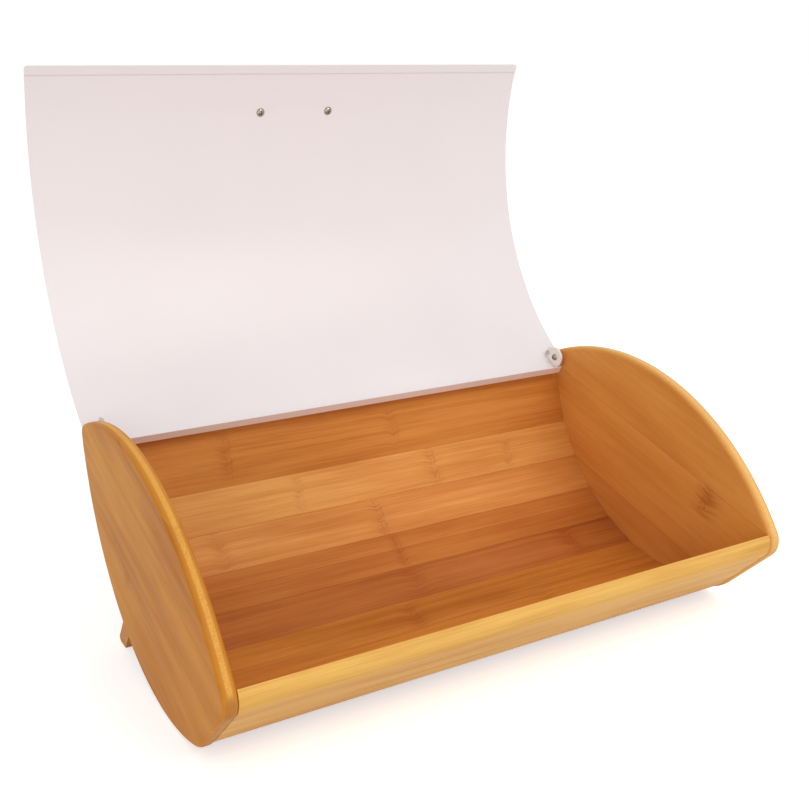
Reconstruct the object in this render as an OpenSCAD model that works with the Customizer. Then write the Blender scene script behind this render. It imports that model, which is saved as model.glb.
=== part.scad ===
// Bread box: two lens-shaped bamboo side panels, a shell of flat bamboo staves
// between them, and a curved sheet lid that swings up over the back.
// Millimetres. +X is right, +Y is back, +Z is up. The origin lies on the table,
// under the middle of the rear foot. The lid is drawn open, resting on its stop.
// Profiles are drawn in the plane of Y and Z, so a profile point is [y, z].

/* [Side panels] */
// Width over both side panels
body_w = 400; // [320:5:480]
// Thickness of each side panel
panel_t = 9; // [8:0.5:12]
// Height of the side panels at the crest
crest_h = 156; // [154:1:160]
// Radius of the upper arc
top_r = 197.5; // [195:0.5:202]
// Radius of the lower arc
bottom_r = 148.5; // [146:0.5:152]
// How far the upper arc's centre lies behind the lower arc's
arc_step = 69.5; // [67:0.5:72]
// Rounding of the back corner
corner_r = 9; // [7:0.5:11]
// Rounding of the nose
nose_r = 14; // [12:0.5:16]
// Rounding of the front face's lower edge
chin_r = 30; // [25:1:35]
// Rounding of the panels' edges
edge_r = 3; // [1:0.5:3.5]
// Depth of the flat that each panel stands on
stand_flat = 0.5; // [0.2:0.1:0.8]

/* [Shell] */
// Thickness of a stave
stave_t = 4.5; // [3.5:0.5:6]
// How far the staves' corners stay inside the lower arc
stave_inset = 0.7; // [0.5:0.1:1.5]
// Lower edge of the top stave, in degrees below level
first_joint_angle = 26.5; // [22:0.5:30]
// Lower edge of the last stave, in degrees below level at the back
last_joint_angle = 110; // [108:0.5:111]
// How far below the pivot the shell ends
shell_drop = 14; // [14:0.5:20]
// How deep the staves run into the panels
groove_d = 3; // [2:0.5:4]

/* [Front board and foot] */
// How far the front face cuts into the lower arc
front_cut = 12.5; // [10:0.5:14]
// Slope of the front face, in degrees
front_slope = 45; // [44:0.5:46]
// Thickness of the front board
board_t = 10; // [8:0.5:12]
// How far the front board stays inside the panels' outline
board_inset = 1; // [0.5:0.1:2]
// Thickness of the rear foot
foot_t = 12; // [9:0.5:16]
// Rear face of the foot, in degrees below level
foot_angle = 54; // [50:0.5:58]
// How far the foot stays inside the panels' outer faces
foot_inset = 3.5; // [2:0.5:5]

/* [Lid] */
// Opening angle, in degrees
open_angle = 126.5; // [120:0.5:130]
// Thickness of the lid's sheet
lid_t = 0.6; // [0.5:0.1:1]
// How far the lid's edges stay inside the panels' outer faces
lid_inset = 1.5; // [1:0.5:3]
// Gap between the panels and the hem of the closed lid
lid_gap = 0.4; // [0.3:0.1:1]
// How far the lid reaches past the start of the nose
lid_overhang = 0.5; // [-2:0.5:3]
// Width of the hem at the free edge
hem_w = 6; // [6:0.5:9]
// Rounding of the free corners
lid_corner_r = 2.5; // [1.5:0.5:5.5]
// Depth of the stiffening lip at the heel
lip_h = 6; // [4:0.5:6.5]

/* [Hinge] */
// Depth of the pivot under the upper arc
pivot_depth = 6; // [6:0.5:7]
// How far the pivot lies in front of the back corner's centre
pivot_step = 3; // [2:0.5:4]
// Length of the lid behind the pivot
heel_len = 10.5; // [9.5:0.5:11]
// Radius of the ears' round end
ear_r = 8; // [7:0.5:8.5]
// Thickness of the ear plates
ear_t = 1; // [0.8:0.1:2]
// Gap between the lid's heel and each panel
heel_gap = 3.5; // [1.5:0.1:4]
// Radius of the pivot screws
pivot_r = 2; // [1.5:0.1:2.5]

/* [Handle] */
// Length of the handle
handle_len = 90; // [70:1:140]
// Width of the handle
handle_w = 13; // [10:0.5:18]
// Height of the handle
handle_h = 16; // [12:0.5:22]
// Distance between the handle's screws
screw_pitch = 56; // [40:1:80]
// Distance of the handle from the lid's free edge
handle_back = 35; // [25:1:60]

/* [Hidden] */
$fn = 48;

arc_fn = 180;       // facets of the long arcs
reach = 2 * top_r;  // longer than any profile
over = 1;           // how far a cut runs past the face that it opens
glue_gap = 0.1;     // clearance of glued and seated pieces
running_gap = 0.05; // radial clearance of the pivot screws
end_play = 0.15;    // side play of the ears
stop_gap = 0.3;     // between the open lid's shoulders and the panels
crossing = 0.02;    // how far a rounding reaches past an edge instead of just touching it

bamboo = [0.80, 0.58, 0.33];
bamboo_deep = [0.74, 0.50, 0.27];
lid_white = [0.95, 0.93, 0.92];
zinc = [0.72, 0.72, 0.70];
nylon = [0.93, 0.91, 0.86];

// ---- points and angles in the profile plane ----

function polar(r, a) = [r * cos(a), r * sin(a)];
function turned(v, a) = [v[0] * cos(a) - v[1] * sin(a), v[0] * sin(a) + v[1] * cos(a)];
function angle_of(v) = atan2(v[1], v[0]);

// The rear point that lies r1 from c1 and r2 from c2
function circles_meet(c1, r1, c2, r2) =
    let (d = c2 - c1, l = norm(d), u = d / l)
    let (along = (r1 * r1 - r2 * r2 + l * l) / (2 * l))
    c1 + along * u + sqrt(r1 * r1 - along * along) * [u[1], -u[0]];

// Where the line through p in direction u is r from c, on its far side
function line_meets(p, u, c, r) =
    let (v = p - c, b = v * u)
    p + (sqrt(b * b - v * v + r * r) - b) * u;

// Half the length of a chord that lies d from the centre of a circle
function half_chord(r, d) = sqrt(r * r - d * d);

// ---- places, from the sizes above ----

foot_len = foot_t / sin(foot_angle);
bottom_z = bottom_r - stand_flat;
foot_back = bottom_z / tan(foot_angle);
bottom_c = [foot_len / 2 - foot_back, bottom_z];
top_c = [bottom_c[0] + arc_step, crest_h - top_r];

front_angle = front_slope - 180;
front_r = bottom_r - front_cut;
corner_c = circles_meet(top_c, top_r - corner_r, bottom_c, bottom_r - corner_r);
nose_c = line_meets(bottom_c + polar(front_r - nose_r, front_angle), polar(1, front_angle - 90),
                    top_c, top_r - nose_r);
nose_angle = angle_of(nose_c - top_c);
chin_c = bottom_c + turned([front_r - chin_r, half_chord(bottom_r - chin_r, front_r - chin_r)], front_angle);
chin_angle = angle_of(chin_c - bottom_c);

inner_x = body_w / 2 - panel_t;
shell_r = bottom_r - stave_inset;
shell_in = shell_r - stave_t;

pivot_from_top = top_r - pivot_depth;
pivot_angle = angle_of(corner_c - top_c) + pivot_step / top_r * 180 / PI;
pivot = top_c + polar(pivot_from_top, pivot_angle);
shell_top = -asin((bottom_z - pivot[1] + shell_drop) / shell_in);

lid_in = top_r + lid_gap + lid_t;
lid_out = lid_in + lid_t;
lid_w = body_w - 2 * lid_inset;
degrees_per_mm = 180 / PI / lid_in;
lid_end = nose_angle + lid_overhang * degrees_per_mm;
hem_start = lid_end - hem_w * degrees_per_mm;
heel_end = pivot_angle - heel_len * degrees_per_mm;
before_heel = heel_end - over * degrees_per_mm;
open_c = pivot + turned(top_c - pivot, -open_angle);
stop_v = corner_c - open_c;
shoulder = angle_of(stop_v) + asin((corner_r + stop_gap) / norm(stop_v)) + open_angle;

tab_x = inner_x - heel_gap;
ear_out_x = tab_x - lid_t;
ear_in_x = ear_out_x - ear_t;
ear_turn = pivot_angle + 90;
ear_len = 11;
ear_slope = 45;
rivet_place = [9, -3.5];
rivet_r = 1.2;
rivet_head_r = 1.8;
rivet_head_h = 0.7;

pivot_head_r = 2.7;
pivot_head_h = 2;
pivot_bite = 6;
washer_r = 4.5;

handle_angle = lid_end - handle_back * degrees_per_mm;
handle_foot_r = lid_out + glue_gap / 2;
screw_r = 1.75;
screw_head_r = 3.2;
screw_head_h = 1.8;
screw_bite = 11;

dowel_r = 3;
dowel_in_panel = 5;
dowel_in_board = 15;
dowel_places = [8, 40];
foot_edge_r = 2.5;

stave_count = 7; // below the top one
function stave_edge(i) =
    i == 0 ? shell_top : -first_joint_angle - (i - 1) * (last_joint_angle - first_joint_angle) / stave_count;

// ---- shared shapes ----

// Puts a profile's plane across the box, with local Z running along +X from x
module across(x) translate([x, 0, 0]) rotate([90, 0, 90]) children();

// Draws on the right side, or mirrored on the left
module on_side(side) {
    if (side > 0) children();
    else mirror([1, 0, 0]) children();
}

module on_both_sides() {
    children();
    mirror([1, 0, 0]) children();
}

// Swings what is drawn for the closed lid open
module opened() {
    translate([0, pivot[0], pivot[1]]) rotate([-open_angle, 0, 0])
        translate([0, -pivot[0], -pivot[1]]) children();
}

// Local Z is the lid's outward normal at an angle round the upper arc
module on_lid(angle, x, r) {
    translate([x, top_c[0], top_c[1]]) rotate([angle - 90, 0, 0])
        translate([0, 0, r]) children();
}

// Local Z runs along +X on the pivot's axis
module on_pivot(x) translate([x, pivot[0], pivot[1]]) rotate([0, 90, 0]) children();

// The area between two directions from the local origin
module wedge(from, to, r) {
    polygon([[0, 0], polar(r, from), polar(1.5 * r, (from + to) / 2), polar(r, to)]);
}

// What rounding takes off a corner
module corner_waste(r, from, to) {
    difference() {
        wedge(from, to, 4 * r);
        circle(r);
    }
}

// Domed head with a cross recess, its crown at the local origin and its flat side at h
module screw_head(r, h) {
    dome_r = (r * r + h * h) / (2 * h);
    slot = r / 2;
    difference() {
        intersection() {
            translate([0, 0, dome_r]) sphere(dome_r);
            translate([-r, -r, 0]) cube([2 * r, 2 * r, h]);
        }
        for (a = [0, 90]) rotate([0, 0, a]) translate([-slot, -slot / 4, -slot])
            cube([2 * slot, slot / 2, 2 * slot]);
    }
}

// ---- side panels ----

// Section through a panel's rounded edge, whose rim lies r from the local Y axis
module rim_section(r, back = 0) {
    translate([-back, 0]) square([r - edge_r + back, panel_t]);
    translate([0, edge_r]) square([r, panel_t - 2 * edge_r]);
    for (y = [edge_r, panel_t - edge_r]) translate([r - edge_r, y]) circle(edge_r);
}

module rounded_disc(r) rotate_extrude($fn = arc_fn) rim_section(r);

module rounded_front() {
    rotate([0, 0, front_angle]) translate([0, reach, 0]) rotate([90, 0, 0])
        linear_extrude(2 * reach) rim_section(front_r, reach);
}

module rounded_corner_waste(r, from, to) {
    difference() {
        translate([0, 0, -over]) linear_extrude(panel_t + 2 * over) wedge(from, to, 4 * r);
        rounded_disc(r);
    }
}

module panel_blank() {
    difference() {
        intersection() {
            translate(top_c) rounded_disc(top_r);
            translate(bottom_c) rounded_disc(bottom_r);
            translate(bottom_c) rounded_front();
        }
        translate(corner_c) rounded_corner_waste(corner_r, angle_of(corner_c - bottom_c),
                                                 angle_of(corner_c - top_c));
        translate(nose_c) rounded_corner_waste(nose_r, nose_angle, front_angle + 360);
        translate(chin_c) rounded_corner_waste(chin_r, front_angle, chin_angle);
    }
}

module side_panel(side) color(bamboo) on_side(side) across(inner_x) {
    difference() {
        panel_blank();
        translate([-reach, -reach, -over]) cube([2 * reach, reach, panel_t + 2 * over]);
        translate([0, 0, -over]) linear_extrude(groove_d + over)
            for (i = [0 : stave_count]) stave_section(i, glue_gap);
        for (s = dowel_places) translate([0, 0, -over]) translate(dowel_point(s))
            cylinder(h = dowel_in_panel + over, r = dowel_r + glue_gap);
        translate([pivot[0], pivot[1], -over])
            cylinder(h = pivot_bite + glue_gap + over, r = pivot_r + running_gap);
    }
}

// ---- shell of flat staves, from the back's top edge down and forward ----

module stave_section(i, clear = 0) {
    from = stave_edge(i);
    to = stave_edge(i + 1);
    translate(bottom_c) polygon([
        polar(shell_in - clear, from), polar(shell_r + clear, from),
        polar(shell_r + clear, to), polar(shell_in - clear, to)
    ]);
}

// All that lies behind the staves' outer faces, with clear added
module shell_outline(clear) {
    translate(bottom_c) polygon([
        [0, 0],
        for (i = [0 : stave_count + 1]) polar(shell_r + clear, stave_edge(i))
    ]);
}

module stave(i) {
    half_l = inner_x + groove_d - glue_gap;
    color(bamboo_deep) across(-half_l) linear_extrude(2 * half_l) stave_section(i);
}

// ---- front board, foot ----

// A point in the middle of the front board's thickness, s below the nose
function dowel_point(s) =
    bottom_c + turned([front_r - board_inset - board_t / 2, s], front_angle);

// The panels' outline, drawn in by inset
module body_outline(inset) {
    difference() {
        intersection() {
            translate(top_c) circle(top_r - inset, $fn = arc_fn);
            translate(bottom_c) circle(bottom_r - inset, $fn = arc_fn);
        }
        translate(bottom_c) rotate(front_angle) translate([front_r - inset, -reach])
            square([reach, 2 * reach]);
        translate(nose_c) corner_waste(nose_r - inset, nose_angle, front_angle + 360);
        translate(chin_c) corner_waste(chin_r - inset, front_angle, chin_angle);
    }
}

module front_board() color(bamboo) across(-inner_x) {
    difference() {
        linear_extrude(2 * inner_x) intersection() {
            body_outline(board_inset);
            translate(bottom_c) rotate(front_angle)
                translate([front_r - board_inset - board_t, -reach]) square([board_t, 2 * reach]);
            translate(bottom_c) wedge(-180, stave_edge(stave_count + 1), reach);
        }
        for (s = dowel_places, z = [-over, 2 * inner_x - dowel_in_board])
            translate([0, 0, z]) translate(dowel_point(s))
                cylinder(h = dowel_in_board + over, r = dowel_r + glue_gap);
    }
}

module board_dowels() {
    dowel_l = dowel_in_panel + dowel_in_board - 2 * glue_gap;
    color(bamboo_deep) on_both_sides() across(inner_x - dowel_in_board + glue_gap)
        for (s = dowel_places) translate(dowel_point(s)) cylinder(h = dowel_l, r = dowel_r);
}

module foot_section() {
    edge_c = [foot_len / 2 - foot_edge_r / tan(foot_angle / 2), foot_edge_r];
    difference() {
        translate(bottom_c) rotate(-foot_angle) translate([shell_in, -foot_t]) square([reach, foot_t]);
        translate([-reach, -2 * reach]) square([2 * reach, 2 * reach]);
        shell_outline(glue_gap);
        translate(edge_c) corner_waste(foot_edge_r, -90, 90 - foot_angle);
    }
}

// Fits the staves between the panels, and the panels' round edges at its ends
module rear_foot() {
    half_l = body_w / 2 - foot_inset;
    color(bamboo) difference() {
        across(-half_l) linear_extrude(2 * half_l) foot_section();
        on_both_sides() across(inner_x - glue_gap) translate(bottom_c)
            cylinder(h = panel_t + over, r = bottom_r + glue_gap, $fn = arc_fn);
    }
}

// ---- hinge ----

// Ear round the pivot, cut off r from the centre of the upper arc
module ear_outline(r) {
    tangent = polar(ear_r, 90 - ear_slope);
    drop = (ear_len - tangent[0]) * tan(ear_slope);
    intersection() {
        translate(top_c) circle(r, $fn = arc_fn);
        translate(pivot) rotate(ear_turn) {
            circle(ear_r);
            polygon([[0, 0], tangent, [ear_len, tangent[1] - drop], [ear_len, -ear_r - over],
                     [0, -ear_r - over]]);
        }
    }
}

rivet_point = pivot + turned(rivet_place, ear_turn);

module ear_holes() {
    translate(pivot) circle(pivot_r + running_gap);
    translate(rivet_point) circle(rivet_r + glue_gap);
}

module ear_plate(side) color(lid_white) opened() on_side(side) across(ear_in_x) {
    linear_extrude(ear_t) difference() {
        ear_outline(lid_in - glue_gap);
        ear_holes();
    }
}

module ear_rivets() {
    stack_t = ear_t + lid_t + 2 * glue_gap;
    color(zinc) opened() on_both_sides() across(ear_in_x - glue_gap) translate(rivet_point) {
        cylinder(h = stack_t, r = rivet_r);
        translate([0, 0, -rivet_head_h]) cylinder(h = rivet_head_h, r = rivet_head_r);
        translate([0, 0, stack_t]) cylinder(h = rivet_head_h, r = rivet_head_r);
    }
}

module pivot_screws() {
    head_x = ear_in_x - end_play;
    color(zinc) on_both_sides() {
        on_pivot(head_x) cylinder(h = inner_x + pivot_bite - head_x, r = pivot_r);
        on_pivot(head_x - pivot_head_h) screw_head(pivot_head_r, pivot_head_h);
    }
}

module pivot_washers() {
    color(nylon) on_both_sides() on_pivot(tab_x + glue_gap) difference() {
        cylinder(h = heel_gap - 2 * glue_gap, r = washer_r);
        translate([0, 0, -over]) cylinder(h = heel_gap + 2 * over, r = pivot_r + running_gap);
    }
}

// ---- lid ----

module arc_strip(r, t, from, to, width) {
    translate([0, top_c[0], top_c[1]]) across(-width / 2) rotate([0, 0, from])
        rotate_extrude(angle = to - from, $fn = arc_fn) translate([r, 0]) square([t, width]);
}

module lid_tabs() on_both_sides() across(ear_out_x) linear_extrude(lid_t) ear_outline(lid_in + lid_t / 2);

// The curved sheet, with its hem at the free edge and narrow between the panels
module lid_curve() {
    difference() {
        arc_strip(lid_in - lid_t, 2 * lid_t, heel_end, lid_end, lid_w);
        arc_strip(lid_in - over, over, before_heel, hem_start, lid_w + 2 * over);
        on_both_sides() translate([tab_x + lid_w / 2, 0, 0])
            arc_strip(lid_in - over, lid_t + 2 * over, before_heel, shoulder, lid_w);
    }
}

// Stiffening lip, bent inward at the heel's end, as long as the space between the tabs
module heel_lip() {
    on_lid(heel_end, -ear_out_x, lid_in - lip_h) translate([0, -lid_t / 2, 0])
        cube([2 * ear_out_x, lid_t, lip_h + lid_t / 2]);
}

// Rounding of a free corner, drawn a hair outside the edges so that it crosses them
module free_corner_waste() {
    on_lid(lid_end, lid_w / 2 - lid_corner_r + crossing, lid_in - lip_h)
        translate([0, lid_corner_r - crossing, 0]) linear_extrude(2 * lip_h)
            corner_waste(lid_corner_r, -90, 0);
}

module lid_sheet() color(lid_white) opened() difference() {
    union() {
        lid_curve();
        heel_lip();
        lid_tabs();
    }
    on_both_sides() free_corner_waste();
    on_both_sides() across(ear_in_x) linear_extrude(heel_gap + lid_t) ear_holes();
    on_both_sides() on_lid(handle_angle, screw_pitch / 2, lid_in - over)
        cylinder(h = lid_t + 2 * over, r = screw_r + glue_gap);
}

// ---- handle ----

module handle_section() {
    translate([-handle_w / 2, 0]) square([handle_w, handle_h - handle_w / 2]);
    translate([0, handle_h - handle_w / 2]) circle(handle_w / 2);
}

module handle_plan() {
    straight = handle_len - handle_w;
    square([straight, handle_w], center = true);
    for (x = [-straight / 2, straight / 2]) translate([x, 0]) circle(handle_w / 2);
}

module lid_handle() color(bamboo) opened() difference() {
    on_lid(handle_angle, 0, handle_foot_r) intersection() {
        linear_extrude(handle_h) handle_plan();
        translate([-handle_len / 2, 0, 0]) rotate([90, 0, 90]) linear_extrude(handle_len)
            handle_section();
    }
    on_both_sides() on_lid(handle_angle, screw_pitch / 2, lid_out - over)
        cylinder(h = screw_bite + over + 2 * glue_gap, r = screw_r + glue_gap);
}

module handle_screws() {
    seat_r = lid_in - glue_gap / 2;
    color(zinc) opened() on_both_sides() {
        on_lid(handle_angle, screw_pitch / 2, seat_r)
            cylinder(h = lid_out + screw_bite - seat_r, r = screw_r);
        on_lid(handle_angle, screw_pitch / 2, seat_r - screw_head_h) screw_head(screw_head_r, screw_head_h);
    }
}

side_panel(-1);  // side_panel_left
side_panel(1);  // side_panel_right
stave(0);  // stave_1
stave(1);  // stave_2
stave(2);  // stave_3
stave(3);  // stave_4
stave(4);  // stave_5
stave(5);  // stave_6
stave(6);  // stave_7
stave(7);  // stave_8
front_board();
board_dowels();
rear_foot();
pivot_screws();
pivot_washers();
lid_sheet();
ear_plate(-1);  // ear_plate_left
ear_plate(1);  // ear_plate_right
ear_rivets();
lid_handle();
handle_screws();
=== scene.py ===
"""Looks for the bread box: lacquered bamboo, a white powder-coated lid, and small metal parts.

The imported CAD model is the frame, in metres: +X right, +Y back, +Z up, with the origin on the table.
Every CAD piece keeps its shape here. It gets a procedural material, and fine edges from modifiers.
Colours are sRGB from 0 to 255, and angles are degrees, unless a comment says otherwise.
"""

import math

import bpy
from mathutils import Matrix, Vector


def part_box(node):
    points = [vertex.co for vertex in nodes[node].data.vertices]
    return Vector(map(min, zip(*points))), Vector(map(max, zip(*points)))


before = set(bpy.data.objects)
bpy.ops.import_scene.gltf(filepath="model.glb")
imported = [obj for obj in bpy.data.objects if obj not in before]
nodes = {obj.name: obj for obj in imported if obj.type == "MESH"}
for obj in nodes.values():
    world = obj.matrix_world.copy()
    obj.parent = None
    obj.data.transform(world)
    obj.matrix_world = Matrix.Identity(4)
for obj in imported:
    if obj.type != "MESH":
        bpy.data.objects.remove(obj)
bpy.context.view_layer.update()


# ---- building node trees ----


def linear(rgb):
    """A colour written as sRGB from 0 to 255, as a shader wants it."""
    parts = [v / 255 for v in rgb]
    return tuple(p / 12.92 if p <= 0.04045 else ((p + 0.055) / 1.055) ** 2.4 for p in parts) + (1.0,)


class Tree:
    """A material's nodes, with one short method for each kind that is used here."""

    def __init__(self, name):
        self.material = bpy.data.materials.new(name)
        self.material.use_nodes = True
        self.nodes = self.material.node_tree.nodes
        self.links = self.material.node_tree.links
        self.shader = self.nodes["Principled BSDF"]
        self.place = self.nodes.new("ShaderNodeTexCoord")

    def feed(self, socket, value):
        """Links an output to the socket, or sets it to a plain value."""
        if isinstance(value, bpy.types.NodeSocket):
            self.links.new(value, socket)
        else:
            socket.default_value = value

    def set(self, **values):
        """Feeds the shader's inputs, named with _ for each space."""
        for name, value in values.items():
            self.feed(self.shader.inputs[name.replace("_", " ")], value)

    def math(self, operation, *values):
        node = self.nodes.new("ShaderNodeMath")
        node.operation = operation
        for socket, value in zip(node.inputs, values):
            self.feed(socket, value)
        return node.outputs[0]

    def vector_math(self, operation, a, b):
        node = self.nodes.new("ShaderNodeVectorMath")
        node.operation = operation
        self.feed(node.inputs[0], a)
        self.feed(node.inputs[1], b)
        return node.outputs["Value" if operation == "DOT_PRODUCT" else "Vector"]

    def combine(self, x, y, z):
        node = self.nodes.new("ShaderNodeCombineXYZ")
        for socket, value in zip(node.inputs, (x, y, z)):
            self.feed(socket, value)
        return node.outputs[0]

    def split(self, vector):
        node = self.nodes.new("ShaderNodeSeparateXYZ")
        self.feed(node.inputs[0], vector)
        return node.outputs

    def noise(self, vector, scale, detail=2.0, roughness=0.5):
        """Smooth noise from 0 to 1. scale is in cells a metre, one number or one for each axis."""
        if isinstance(scale, tuple):
            vector, scale = self.vector_math("MULTIPLY", vector, scale), 1.0
        node = self.nodes.new("ShaderNodeTexNoise")
        self.feed(node.inputs["Vector"], vector)
        node.inputs["Scale"].default_value = scale
        node.inputs["Detail"].default_value = detail
        node.inputs["Roughness"].default_value = roughness
        return node.outputs["Fac"]

    def random(self, number):
        """A fixed random number for each whole number."""
        node = self.nodes.new("ShaderNodeTexWhiteNoise")
        node.noise_dimensions = "1D"
        self.feed(node.inputs["W"], number)
        return node.outputs["Value"]

    def fade(self, value, start, end, low=0.0, high=1.0):
        """low up to start, high from end on, and smooth between them."""
        node = self.nodes.new("ShaderNodeMapRange")
        node.interpolation_type = "SMOOTHSTEP"
        for socket, number in zip(node.inputs, (value, start, end, low, high)):
            self.feed(socket, number)
        return node.outputs[0]

    def mix(self, factor, a, b, blend="MIX"):
        node = self.nodes.new("ShaderNodeMix")
        node.data_type = "RGBA"
        node.blend_type = blend
        self.feed(node.inputs["Factor"], factor)
        self.feed(node.inputs["A"], a)
        self.feed(node.inputs["B"], b)
        return node.outputs["Result"]

    def bump(self, height, distance, strength):
        """Relief of that depth in metres, on the shader's normal."""
        node = self.nodes.new("ShaderNodeBump")
        node.inputs["Strength"].default_value = strength
        node.inputs["Distance"].default_value = distance
        self.links.new(height, node.inputs["Height"])
        self.set(Normal=node.outputs["Normal"])

    def spread(self, value, amount):
        """Noise about 0.5, as an offset of up to half the amount."""
        return self.math("MULTIPLY", self.math("SUBTRACT", value, 0.5), amount)

    def total(self, *values):
        result = values[0]
        for value in values[1:]:
            result = self.math("ADD", result, value)
        return result

    def bell(self, value, width):
        """1 where value is 0, falling off smoothly over the width."""
        share = self.math("DIVIDE", value, width)
        return self.math("EXPONENT", self.math("MULTIPLY", self.math("MULTIPLY", share, share), -1.0))


# ---- bamboo ----

# Cells of noise a metre: along the fibres, and across them both ways
FIBRES = (22, 1300, 1300)
STREAKS = (7, 260, 260)
CLOUDS = (7, 34, 34)
PORES = (90, 1900, 1900)
BEADS = (420, 700, 700)
VEINS = (40, 620, 620)
# Cells of noise a metre along X, Y and Z, on the rims
RIM_DOTS = (1500, 1300, 1300)

# How strongly each of these lightens and darkens the wood
STRIP_TONE = 0.24
CLOUD_TONE = 1.2
STREAK_TONE = 0.9
FIBRE_TONE = 0.5
# A pore leaves this share of the tone
PORE_SHADE = 0.84

GLUE_COLOUR = (120, 58, 20)
GLUE_STRENGTH = 0.25
GLUE_WIDTH = 0.0003

KNUCKLE_COLOUR = (150, 62, 22)
# A knuckle's line wanders by this much along the fibres, in waves of this many cells a metre
KNUCKLE_WANDER = 0.010
KNUCKLE_WAVES = 110.0
# It has a ring, and a second, finer ring beside it
RING_WIDTH = 0.0011
SECOND_RING_WIDTH = 0.0009
SECOND_RING_OFFSET = 0.0035
# The fibres bend aside round it by up to this much
FIBRE_BEND = 0.0022

# On a rim, the middle ply, lighter partly as its own tone and partly as a painted highlight, turns into an
# outer ply between these distances from the board's middle
PLY_START = 0.0010
PLY_END = 0.0022

LACQUER_GLOSS = 0.12
LACQUER_RELIEF = 0.00012
# How far the noise is moved from one seed to the next, and at most from one strip to another
SEED_STEP = 0.37
STRIP_STEP = 3.0


def near_knuckle(tree, a, c, d, knuckle, seed):
    """How far a point lies from a knuckle along the fibres, and how much of it reaches the point."""
    line = tree.noise(tree.combine(c, seed + knuckle["along"], d), KNUCKLE_WAVES, detail=3)
    off = tree.total(a, -knuckle["along"], tree.spread(line, KNUCKLE_WANDER))
    aside = tree.math("ABSOLUTE", tree.math("SUBTRACT", c, knuckle["across"]))
    reach = knuckle["reach"]
    return off, tree.fade(aside, 0.3 * reach, reach, low=1.0, high=0.0)


def paint_knuckle(tree, grain, colour, knuckle, off, within):
    """Adds a knuckle's two beaded rings and the veins that run out from them."""
    beads = tree.fade(tree.noise(grain, BEADS, detail=2), 0.40, 0.62)
    ring = tree.math("MULTIPLY", tree.bell(off, RING_WIDTH), beads)
    beside = tree.math("SUBTRACT", off, SECOND_RING_OFFSET)
    second = tree.math("MULTIPLY", tree.bell(beside, SECOND_RING_WIDTH), beads)
    veins = tree.fade(tree.noise(grain, VEINS, detail=2), 0.42, 0.60, low=0.15, high=0.85)
    halo = tree.math("MULTIPLY", tree.bell(off, knuckle["length"]), veins)
    mark = tree.math("MAXIMUM", tree.math("MAXIMUM", ring, second), halo)
    mark = tree.math("MULTIPLY", tree.math("MULTIPLY", mark, within), knuckle["darkness"])
    return tree.mix(mark, colour, linear(KNUCKLE_COLOUR))


def paint_rims(tree, point, colour, along, rims, middle_x):
    """Adds the edges of a three-ply board whose faces look along X and whose middle is at middle_x.

    rims holds the colours of the outer plies, of the middle ply, and of the edge where it is cut
    across the fibres. These colours carry painted light and shade, and the middle ply's lighter
    band is partly a painted highlight along the rim. A board on the left is the mirror image of
    one on the right.
    """
    normal = tree.place.outputs["Normal"]
    facing = tree.math("ABSOLUTE", tree.split(normal)[0])
    cut = tree.math("ABSOLUTE", tree.vector_math("DOT_PRODUCT", normal, along))
    from_middle = tree.math("SUBTRACT", tree.math("ABSOLUTE", tree.split(point)[0]), middle_x)
    # The middle ply's lighter band is partly its own tone and partly a painted highlight along the rim. The
    # cut ends' colour is painted shade on the left panel and painted light on the right.
    ply = tree.fade(tree.math("ABSOLUTE", from_middle), PLY_START, PLY_END)
    plies = tree.mix(ply, linear(rims["middle"]), linear(rims["outer"]))
    rim = tree.mix(tree.fade(cut, 0.70, 0.95), plies, linear(rims["end"]))
    dots = tree.fade(tree.noise(point, RIM_DOTS, detail=2), 0.35, 0.7, low=0.50, high=0.95)
    on_rim = tree.fade(facing, 0.35, 0.92, low=1.0, high=0.0)
    return tree.mix(tree.math("MULTIPLY", on_rim, dots), colour, rim)


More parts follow.
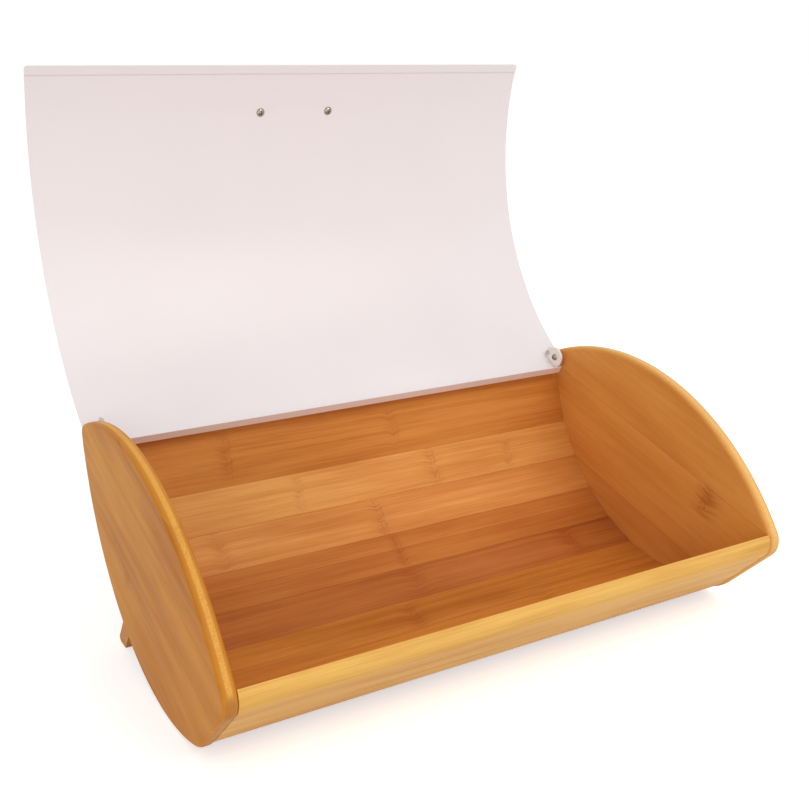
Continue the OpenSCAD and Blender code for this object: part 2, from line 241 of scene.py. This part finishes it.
def bamboo(name, along, across, light, dark, seed, strip=1.0, joint=1.0, knuckles=(), contrast=1.0,
           rims=None, middle_x=0.0):
    """Lacquered bamboo. The fibres run along one direction and strips lie side by side across it.

    Glue lines lie at joint and every strip from there to both sides, counted across from the
    origin. By default they lie at whole metres, so a small piece has one only if it spans 0.
    A knuckle of the cane has its place along and across the fibres, its reach across them, its
    length along them and its darkness. contrast strengthens the streaks and fibres.
    rims and middle_x are for paint_rims, and are left out where the edges look like the faces.
    """
    tree = Tree(name)
    point = tree.place.outputs["Object"]
    depth = Vector(along).cross(Vector(across))
    # A point's place along the fibres, across them, and into the depth
    a, c, d = (tree.vector_math("DOT_PRODUCT", point, tuple(v)) for v in (along, across, depth))

    near = [near_knuckle(tree, a, c, d, knuckle, seed) for knuckle in knuckles]
    bend = 0.0
    for knuckle, (off, within) in zip(knuckles, near):
        push = tree.math("MULTIPLY", tree.bell(off, 0.7 * knuckle["length"]), within)
        bend = tree.math("MULTIPLY_ADD", push, FIBRE_BEND, bend)

    # Each strip has its own tone, and its own part of the noise
    place = tree.math("DIVIDE", tree.math("SUBTRACT", c, joint), strip)
    chance = tree.random(tree.math("ADD", tree.math("FLOOR", place), seed))
    grain = tree.combine(tree.math("MULTIPLY_ADD", chance, STRIP_STEP, a), tree.math("ADD", c, bend),
                         tree.math("ADD", d, seed * SEED_STEP))

    fibres = tree.noise(grain, FIBRES, detail=3)
    streaks = tree.noise(grain, STREAKS, detail=4, roughness=0.65)
    clouds = tree.noise(grain, CLOUDS, detail=3)
    pores = tree.noise(grain, PORES, detail=1)

    tone = tree.total(0.5, tree.spread(chance, STRIP_TONE), tree.spread(clouds, CLOUD_TONE),
                      tree.spread(streaks, STREAK_TONE * contrast),
                      tree.spread(fibres, FIBRE_TONE * contrast))
    tone = tree.math("MULTIPLY", tone, tree.fade(pores, 0.60, 0.74, low=1.0, high=PORE_SHADE))
    colour = tree.mix(tree.fade(tone, 0.0, 1.0), linear(dark), linear(light))

    from_line = tree.math("MULTIPLY", tree.math("PINGPONG", place, 0.5), strip)
    line = tree.bell(from_line, GLUE_WIDTH)
    colour = tree.mix(tree.math("MULTIPLY", line, GLUE_STRENGTH), colour, linear(GLUE_COLOUR))

    for knuckle, (off, within) in zip(knuckles, near):
        colour = paint_knuckle(tree, grain, colour, knuckle, off, within)
    if rims:
        colour = paint_rims(tree, point, colour, along, rims, middle_x)

    tree.set(Base_Color=colour, Roughness=tree.fade(streaks, 0.2, 0.8, low=0.56, high=0.42),
             Specular_IOR_Level=LACQUER_GLOSS)
    height = tree.total(tree.spread(fibres, 0.5), tree.spread(streaks, 0.4),
                        tree.math("MULTIPLY", line, -1.0))
    tree.bump(height, LACQUER_RELIEF, strength=0.6)
    return tree.material


# ---- paint, metal and nylon ----

PEEL_CELLS = 900.0
SHEEN_CELLS = 14.0
TOOL_MARK_CELLS = (900, 900, 900)
MOULD_CELLS = 1200.0
FINE_RELIEF = 0.00003
TOOL_MARK_RELIEF = 0.00002
# The dark part of a tool mark has this share of the metal's colour
TOOL_MARK_SHADE = 0.86


def powder_coat(name, colour):
    """White powder coat on sheet metal: a faint orange peel and an uneven sheen."""
    tree = Tree(name)
    point = tree.place.outputs["Object"]
    peel = tree.noise(point, PEEL_CELLS, detail=1)
    sheen = tree.noise(point, SHEEN_CELLS, detail=2)
    shade = tree.fade(sheen, 0.3, 0.7, low=0.985, high=1.0)
    tree.set(Base_Color=tree.mix(1.0, linear(colour), tree.combine(shade, shade, shade), "MULTIPLY"),
             Roughness=tree.fade(sheen, 0.2, 0.8, low=0.34, high=0.44))
    tree.bump(peel, FINE_RELIEF, strength=0.5)
    return tree.material


def metal(name, colour, roughness):
    """Plated or plain metal with fine tool marks."""
    tree = Tree(name)
    marks = tree.noise(tree.place.outputs["Object"], TOOL_MARK_CELLS, detail=2)
    marked = linear([v * TOOL_MARK_SHADE for v in colour])
    tree.set(Base_Color=tree.mix(tree.fade(marks, 0.3, 0.7), linear(colour), marked),
             Roughness=tree.fade(marks, 0.2, 0.8, low=roughness, high=roughness + 0.14),
             Metallic=1.0)
    tree.bump(marks, TOOL_MARK_RELIEF, strength=0.5)
    return tree.material


def nylon(name):
    """Natural nylon, slightly clear, with a moulded surface."""
    tree = Tree(name)
    grain = tree.noise(tree.place.outputs["Object"], MOULD_CELLS, detail=2)
    light, dark = linear((236, 231, 216)), linear((224, 218, 200))
    tree.set(Base_Color=tree.mix(tree.fade(grain, 0.3, 0.7), light, dark), Roughness=0.45,
             Subsurface_Weight=0.15, Subsurface_Scale=0.002)
    tree.bump(grain, FINE_RELIEF, strength=0.4)
    return tree.material


# ---- dressing the CAD pieces ----

# Points of a CAD mesh that lie this close are one
WELD_REACH = 0.00001
# A bevel takes only the edges that turn by more than this
BEVEL_ANGLE = 35


def dress(node, material, bevel=0.0):
    """Gives a CAD piece its material, and small rounded edges where bevel isn't 0."""
    piece = nodes[node]
    piece.data.materials.clear()
    piece.data.materials.append(material)
    if bevel:
        weld = piece.modifiers.new("weld", "WELD")
        weld.merge_threshold = WELD_REACH
        edges = piece.modifiers.new("edges", "BEVEL")
        edges.width = bevel
        edges.segments = 2
        edges.limit_method = "ANGLE"
        edges.angle_limit = math.radians(BEVEL_ANGLE)
        piece.modifiers.new("normals", "WEIGHTED_NORMAL")


X = (1.0, 0.0, 0.0)


def profile(degrees):
    """A direction in the plane of the side panels: 0 is back, 90 is up."""
    return (0.0, math.cos(math.radians(degrees)), math.sin(math.radians(degrees)))


# Side panels. Their fibres rise to the back by this angle
PANEL_GRAIN = 15.5
PANEL_ALONG = profile(PANEL_GRAIN)
PANEL_ACROSS = profile(PANEL_GRAIN + 90)
PANEL_MIDDLE = sum(corner.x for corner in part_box("side_panel_right")) / 2
# The rims' colours carry painted light. The left panel's rims are darker as painted shade, most of all its
# cut ends. The right panel's are lighter as painted light. On both, the middle ply is lighter, partly as
# its own tone and partly as a painted highlight along the rim.
LEFT_RIMS_PAINTED_SHADE = {"outer": (204, 132, 56), "middle": (236, 176, 84), "end": (178, 118, 62)}
RIGHT_RIMS_PAINTED_LIGHT = {"outer": (232, 178, 104), "middle": (246, 202, 130), "end": (232, 190, 118)}
LEFT_KNUCKLE = {"along": -0.020, "across": 0.070, "reach": 0.012, "length": 0.008, "darkness": 0.25}
RIGHT_KNUCKLE = {"along": -0.113, "across": 0.1033, "reach": 0.017, "length": 0.010, "darkness": 0.65}
dress("side_panel_right",
      bamboo("bamboo_panel_right", PANEL_ALONG, PANEL_ACROSS,
             light=(234, 168, 86), dark=(204, 130, 58), seed=3, strip=0.060, joint=0.1145,
             knuckles=[RIGHT_KNUCKLE], contrast=0.6, rims=RIGHT_RIMS_PAINTED_LIGHT, middle_x=PANEL_MIDDLE))
dress("side_panel_left",
      bamboo("bamboo_panel_left", PANEL_ALONG, PANEL_ACROSS,
             light=(222, 150, 42), dark=(176, 98, 14), seed=8, strip=0.200, joint=0.1600,
             knuckles=[LEFT_KNUCKLE], contrast=0.35, rims=LEFT_RIMS_PAINTED_SHADE, middle_x=PANEL_MIDDLE))

# Staves, from the top one down. Each has a light and a dark tone, and knuckles that reach right
# across it: their places along X, their lengths and their darkness
STAVES = (
    ((216, 144, 68), (180, 104, 40), [(-0.105, 0.005, 0.40), (0.030, 0.005, 0.20)]),
    ((236, 172, 94), (202, 128, 58), [(-0.056, 0.004, 0.20), (0.058, 0.006, 0.42), (0.127, 0.004, 0.25)]),
    ((234, 164, 88), (198, 122, 56), [(0.000, 0.005, 0.45), (-0.1245, 0.006, 0.25)]),
    ((204, 128, 60), (174, 96, 36), [(0.004, 0.004, 0.45)]),
    ((192, 114, 54), (150, 76, 28), [(0.003, 0.010, 0.45), (0.142, 0.009, 0.60)]),
    ((212, 136, 58), (172, 96, 30), [(-0.0155, 0.008, 0.45)]),
    ((212, 134, 56), (174, 96, 28), [(0.080, 0.008, 0.30)]),
    ((196, 120, 50), (160, 84, 26), [(-0.090, 0.008, 0.30)]),
)
# The staves' edges, as directions from the middle of the shell's arc. The top stave is wider
TOP_EDGE = -9.8
SECOND_EDGE = -26.5
STAVE_ANGLE = 11.93
STAVE_EDGES = [TOP_EDGE] + [SECOND_EDGE - STAVE_ANGLE * i for i in range(len(STAVES))]
STAVE_REACH = 0.022
FIRST_STAVE_SEED = 11
for number, (light, dark, marks) in enumerate(STAVES, start=1):
    upper, lower = STAVE_EDGES[number - 1:number + 1]
    across = profile((upper + lower) / 2 + 90)
    low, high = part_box(f"stave_{number}")
    middle = Vector(across).dot((low + high) / 2)
    knuckles = [{"along": x, "across": middle, "reach": STAVE_REACH, "length": length, "darkness": darkness}
                for x, length, darkness in marks]
    dress(f"stave_{number}",
          bamboo(f"bamboo_stave_{number}", X, across, light, dark, seed=FIRST_STAVE_SEED + number - 1,
                 knuckles=knuckles),
          bevel=0.0003)

# Front board, foot, dowels and handle
BOARD_KNUCKLE = {"along": 0.090, "across": -0.130, "reach": 0.020, "length": 0.006, "darkness": 0.2}
HANDLE_KNUCKLE = {"along": 0.020, "across": 0.300, "reach": 0.020, "length": 0.005, "darkness": 0.4}
dress("front_board",
      bamboo("bamboo_board", X, profile(-45), light=(240, 190, 104), dark=(214, 152, 72), seed=31,
             knuckles=[BOARD_KNUCKLE], contrast=1.3),
      bevel=0.0008)
dress("rear_foot",
      bamboo("bamboo_foot", X, profile(36), light=(222, 156, 76), dark=(192, 120, 50), seed=36,
             strip=0.022),
      bevel=0.0010)
dress("board_dowels",
      bamboo("wood_dowel", X, profile(0), light=(216, 178, 122), dark=(196, 156, 100), seed=41))
dress("lid_handle",
      bamboo("bamboo_handle", X, profile(90), light=(224, 158, 78), dark=(196, 124, 52), seed=44,
             strip=0.011, joint=0.0, knuckles=[HANDLE_KNUCKLE]),
      bevel=0.0008)

# Lid and ears
THIN_BEVEL = 0.0002
dress("lid_sheet", powder_coat("paint_lid", (237, 229, 230)))
# The ears' paint is lighter than the lid's, as painted light on ears that face away from the key lamp
ear_white_painted_light = powder_coat("paint_ear_painted_light", (248, 238, 232))
for side in ("left", "right"):
    dress(f"ear_plate_{side}", ear_white_painted_light, bevel=THIN_BEVEL)

# Screws, rivets and washers
# The zinc is darker and warmer than plain plating, as painted shade and a painted reflection of the wooden
# box in the screw heads
zinc_painted_reflection = metal("metal_zinc_painted_reflection", (168, 158, 148), roughness=0.22)
dress("pivot_screws", zinc_painted_reflection)
dress("handle_screws", zinc_painted_reflection)
dress("ear_rivets", metal("metal_aluminium", (202, 202, 200), roughness=0.34), bevel=THIN_BEVEL)
dress("pivot_washers", nylon("nylon_washer"), bevel=THIN_BEVEL)


# ---- floor and surroundings ----

# Linear colours from 0 to 1, with their opacity
WHITE = (1, 1, 1, 1)
FLOOR_GREY = (0.82, 0.82, 0.82, 1)
FLOOR_SIZE = 40
# The floor lies a hair under the feet, so that no two faces share a plane
FLOOR_DROP = 0.0002
# How much the floor glows where it is seen, so that it looks white
FLOOR_GLOW = 0.56
# The surroundings' strength as a light on the object, and as what is seen
ROOM_LIGHT = 0.66
ROOM_SEEN = 1.0


def background_ray(tree):
    """1 for what the camera sees straight, in a reflection or through glass, and 0 for all other light."""
    path = tree.nodes.new("ShaderNodeLightPath")
    result = path.outputs["Is Camera Ray"]
    for kind in ("Is Glossy Ray", "Is Transmission Ray"):
        either = tree.nodes.new("ShaderNodeMath")
        either.operation = "MAXIMUM"
        tree.links.new(result, either.inputs[0])
        tree.links.new(path.outputs[kind], either.inputs[1])
        result = either.outputs[0]
    return result


def white_ground():
    """A pale floor that is white where it is lit, and keeps the object's soft shadow."""
    material = bpy.data.materials.new("ground")
    material.use_nodes = True
    tree = material.node_tree
    shader = tree.nodes["Principled BSDF"]
    shader.inputs["Base Color"].default_value = FLOOR_GREY
    shader.inputs["Roughness"].default_value = 0.9
    shader.inputs["Specular IOR Level"].default_value = 0.0
    glow = tree.nodes.new("ShaderNodeMath")
    glow.operation = "MULTIPLY"
    glow.inputs[1].default_value = FLOOR_GLOW
    tree.links.new(background_ray(tree), glow.inputs[0])
    shader.inputs["Emission Color"].default_value = WHITE
    tree.links.new(glow.outputs[0], shader.inputs["Emission Strength"])
    return material


bpy.ops.mesh.primitive_plane_add(size=FLOOR_SIZE, location=(0, 0, -FLOOR_DROP))
floor = bpy.context.object
floor.name = "floor"
floor.data.materials.append(white_ground())

world = bpy.data.worlds.new("studio")
bpy.context.scene.world = world
world.use_nodes = True
sky = world.node_tree
background = sky.nodes["Background"]
background.inputs["Color"].default_value = WHITE
strength = sky.nodes.new("ShaderNodeMapRange")
strength.inputs["To Min"].default_value = ROOM_LIGHT
strength.inputs["To Max"].default_value = ROOM_SEEN
sky.links.new(background_ray(sky), strength.inputs["Value"])
sky.links.new(strength.outputs[0], background.inputs["Strength"])


# ---- lamps ----


def hang(name, data, place, aim):
    """Puts a lamp at a place, turned to a point."""
    lamp = bpy.data.objects.new(name, data)
    lamp.location = place
    lamp.rotation_euler = (Vector(aim) - Vector(place)).to_track_quat("-Z", "Y").to_euler()
    bpy.context.scene.collection.objects.link(lamp)


def softbox(name, place, aim, size, power, tint=(1.0, 1.0, 1.0)):
    """A large soft lamp, with its power in watts and its tint in linear colour."""
    data = bpy.data.lights.new(name, "AREA")
    data.size = size
    data.energy = power
    data.color = tint
    hang(name, data, place, aim)


def spot(name, place, aim, radius, angle, power):
    """A narrow lamp whose pool of light fades out to its edge, with its power in watts."""
    data = bpy.data.lights.new(name, "SPOT")
    data.spot_size = math.radians(angle)
    data.spot_blend = 1.0
    data.shadow_soft_size = radius
    data.energy = power
    hang(name, data, place, aim)


softbox("key", place=(0.45, -1.25, 1.45), aim=(0, 0, 0.12), size=0.9, power=10.5)
softbox("fill", place=(-1.25, -1.45, 0.40), aim=(0, 0, 0.08), size=1.0, power=6, tint=(1.0, 0.91, 0.80))
# The bright spot that the studio leaves on the staves, right of the middle
spot("sheen", place=(-0.10, -1.10, 0.85), aim=(0.045, 0.005, 0.055), radius=0.05, angle=9, power=9)


# ---- camera, solved from the photo ----

CAMERA_PLACE = (-0.36869, -0.66732, 0.37092)
CAMERA_LENS = 49.62
SENSOR_WIDTH = 36
# It looks down by one angle, and turns to the right from +Y by the other
CAMERA_DOWN = 17.149
CAMERA_RIGHT = 30.298

camera_data = bpy.data.cameras.new("camera")
camera_data.sensor_width = SENSOR_WIDTH
camera_data.lens = CAMERA_LENS
camera = bpy.data.objects.new("camera", camera_data)
camera.location = CAMERA_PLACE
camera.rotation_euler = (math.radians(90 - CAMERA_DOWN), 0, math.radians(-CAMERA_RIGHT))
bpy.context.scene.collection.objects.link(camera)
bpy.context.scene.camera = camera
bpy.context.scene.view_settings.view_transform = "Standard"
